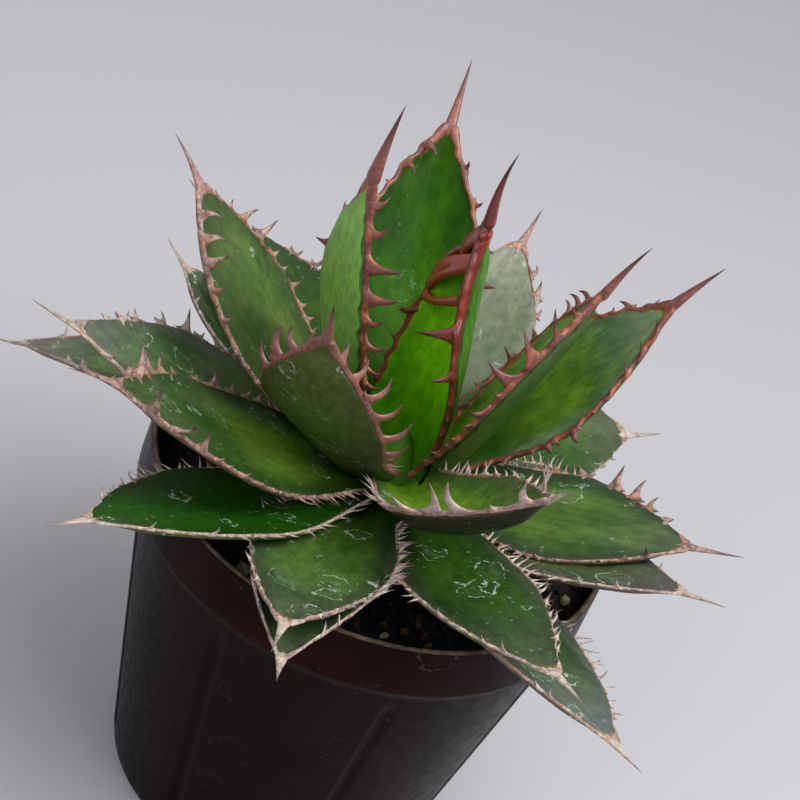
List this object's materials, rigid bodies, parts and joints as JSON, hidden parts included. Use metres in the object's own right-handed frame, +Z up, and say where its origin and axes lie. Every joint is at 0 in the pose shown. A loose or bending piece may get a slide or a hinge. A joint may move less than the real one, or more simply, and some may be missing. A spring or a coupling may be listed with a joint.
{
  "type": "potted agave horrida",
  "caption": "Rosette of stiff, broad, toothed succulent leaves with end spines, on a short stem in soil, in a round tapered nursery pot with a straight collar.",
  "frame": {"origin": "centre of the underside of the pot", "axes": "+Z up the axis of the pot; the picture looks along +Y and down, from the -Y side"},
  "size_m": [0.1763, 0.1982, 0.1985],
  "materials": {
    "pot": "satin",
    "soil": "matte",
    "stem": "satin",
    "leaf_young": "satin",
    "leaf_middle": "satin",
    "leaf_old": "satin",
    "horn_young": "satin",
    "horn_middle": "satin",
    "horn_old": "matte"
  },
  "bodies": {
    "root": {"pot": "pot", "soil": "soil", "stem": "stem", "leaf_01_blade": "leaf_young", "leaf_01_edge": "horn_young", "leaf_02_blade": "leaf_young", "leaf_02_edge": "horn_young", "leaf_03_blade": "leaf_young", "leaf_03_edge": "horn_young", "leaf_04_blade": "leaf_young", "leaf_04_edge": "horn_young", "leaf_05_blade": "leaf_young", "leaf_05_edge": "horn_young", "leaf_06_blade": "leaf_middle", "leaf_06_edge": "horn_middle", "leaf_07_blade": "leaf_middle", "leaf_07_edge": "horn_middle", "leaf_08_blade": "leaf_middle", "leaf_08_edge": "horn_middle", "leaf_09_blade": "leaf_middle", "leaf_09_edge": "horn_middle", "leaf_10_blade": "leaf_middle", "leaf_10_edge": "horn_middle", "leaf_11_blade": "leaf_middle", "leaf_11_edge": "horn_middle", "leaf_12_blade": "leaf_middle", "leaf_12_edge": "horn_middle", "leaf_13_blade": "leaf_old", "leaf_13_edge": "horn_old", "leaf_14_blade": "leaf_old", "leaf_14_edge": "horn_old", "leaf_15_blade": "leaf_old", "leaf_15_edge": "horn_old", "leaf_16_blade": "leaf_old", "leaf_16_edge": "horn_old", "leaf_17_blade": "leaf_old", "leaf_17_edge": "horn_old", "leaf_18_blade": "leaf_old", "leaf_18_edge": "horn_old", "leaf_19_blade": "leaf_old", "leaf_19_edge": "horn_old", "leaf_20_blade": "leaf_old", "leaf_20_edge": "horn_old", "leaf_21_blade": "leaf_old", "leaf_21_edge": "horn_old", "leaf_22_blade": "leaf_old", "leaf_22_edge": "horn_old", "leaf_23_blade": "leaf_old", "leaf_23_edge": "horn_old", "leaf_24_blade": "leaf_old", "leaf_24_edge": "horn_old", "leaf_25_blade": "leaf_old", "leaf_25_edge": "horn_old"}
  },
  "joints": []
}
